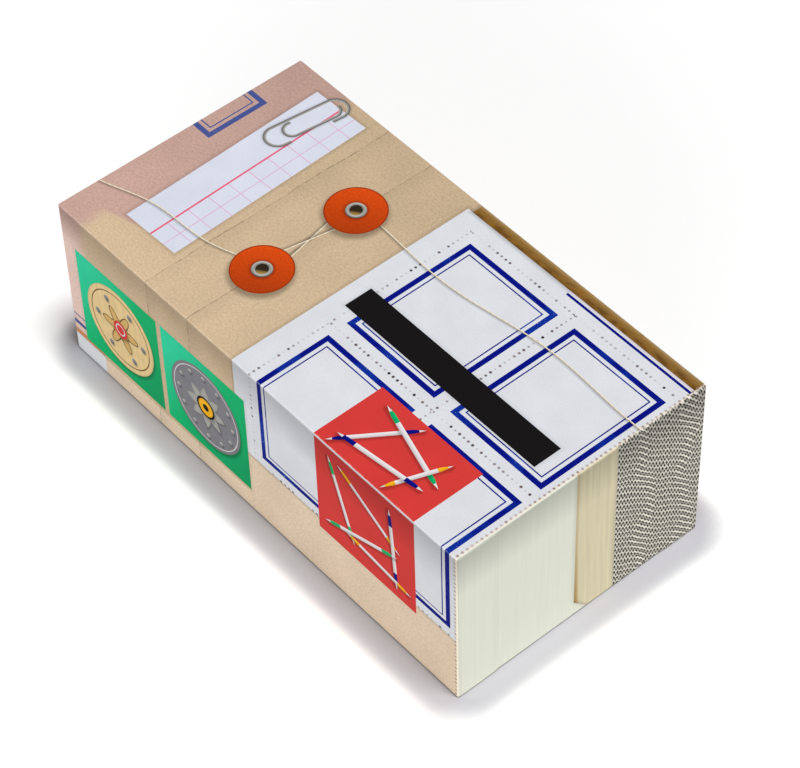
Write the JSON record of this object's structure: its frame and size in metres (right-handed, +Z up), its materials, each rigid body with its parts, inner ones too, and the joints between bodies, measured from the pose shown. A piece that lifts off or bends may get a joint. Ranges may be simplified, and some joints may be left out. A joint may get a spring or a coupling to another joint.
{
  "type": "face memory game",
  "caption": "Rectangular card game box with a full-depth lift-off lid over a tray that holds two stacks of square picture tiles side by side and a folded rules leaflet.",
  "frame": {"origin": "middle of the box's footprint, on the surface it stands on", "axes": "+X along the length, towards the end that the picture shows; -Y is the long side that the picture shows; +Z up, the way the lid lifts"},
  "size_m": [0.1332, 0.0694, 0.0471],
  "materials": {
    "printed_cover_paper": "matte laminated print",
    "tray_cover_paper": "uncoated",
    "grey_board": "uncoated",
    "gummed_tape": "uncoated",
    "bottom_paper": "uncoated",
    "leaflet_paper": "uncoated",
    "picture_tile_board": "satin laminated print"
  },
  "bodies": {
    "tray": {"tray_board": "grey_board", "tray_corner_stays": "gummed_tape", "tray_wrap": "tray_cover_paper", "tray_bottom_sheet": "bottom_paper"},
    "left_stack": {"tile_left_01": "picture_tile_board", "tile_left_02": "picture_tile_board", "tile_left_03": "picture_tile_board", "tile_left_04": "picture_tile_board", "tile_left_05": "picture_tile_board", "tile_left_06": "picture_tile_board", "tile_left_07": "picture_tile_board", "tile_left_08": "picture_tile_board", "tile_left_09": "picture_tile_board", "tile_left_10": "picture_tile_board", "tile_left_11": "picture_tile_board", "tile_left_12": "picture_tile_board", "tile_left_13": "picture_tile_board", "tile_left_14": "picture_tile_board", "tile_left_15": "picture_tile_board", "tile_left_16": "picture_tile_board", "tile_left_17": "picture_tile_board", "tile_left_18": "picture_tile_board", "tile_left_19": "picture_tile_board", "tile_left_20": "picture_tile_board", "tile_left_21": "picture_tile_board", "tile_left_22": "picture_tile_board", "tile_left_23": "picture_tile_board", "tile_left_24": "picture_tile_board"},
    "right_stack": {"tile_right_01": "picture_tile_board", "tile_right_02": "picture_tile_board", "tile_right_03": "picture_tile_board", "tile_right_04": "picture_tile_board", "tile_right_05": "picture_tile_board", "tile_right_06": "picture_tile_board", "tile_right_07": "picture_tile_board", "tile_right_08": "picture_tile_board", "tile_right_09": "picture_tile_board", "tile_right_10": "picture_tile_board", "tile_right_11": "picture_tile_board", "tile_right_12": "picture_tile_board", "tile_right_13": "picture_tile_board", "tile_right_14": "picture_tile_board", "tile_right_15": "picture_tile_board", "tile_right_16": "picture_tile_board", "tile_right_17": "picture_tile_board", "tile_right_18": "picture_tile_board", "tile_right_19": "picture_tile_board", "tile_right_20": "picture_tile_board", "tile_right_21": "picture_tile_board", "tile_right_22": "picture_tile_board", "tile_right_23": "picture_tile_board", "tile_right_24": "picture_tile_board"},
    "leaflet": {"rules_leaflet": "leaflet_paper"},
    "lid": {"lid_board": "grey_board", "lid_corner_stays": "gummed_tape", "lid_wrap": "printed_cover_paper"}
  },
  "joints": [
    {"name": "left_stack_lift", "type": "slide", "parent": "tray", "child": "left_stack", "axis": [0, 0, 1], "range_m": [0, 0.05]},
    {"name": "right_stack_lift", "type": "slide", "parent": "left_stack", "child": "right_stack", "axis": [0, 0, 1], "range_m": [0, 0.05]},
    {"name": "leaflet_lift", "type": "slide", "parent": "right_stack", "child": "leaflet", "axis": [0, 0, 1], "range_m": [0, 0.015]},
    {"name": "lid_lift", "type": "slide", "parent": "leaflet", "child": "lid", "axis": [0, 0, 1], "range_m": [0, 0.06]}
  ]
}
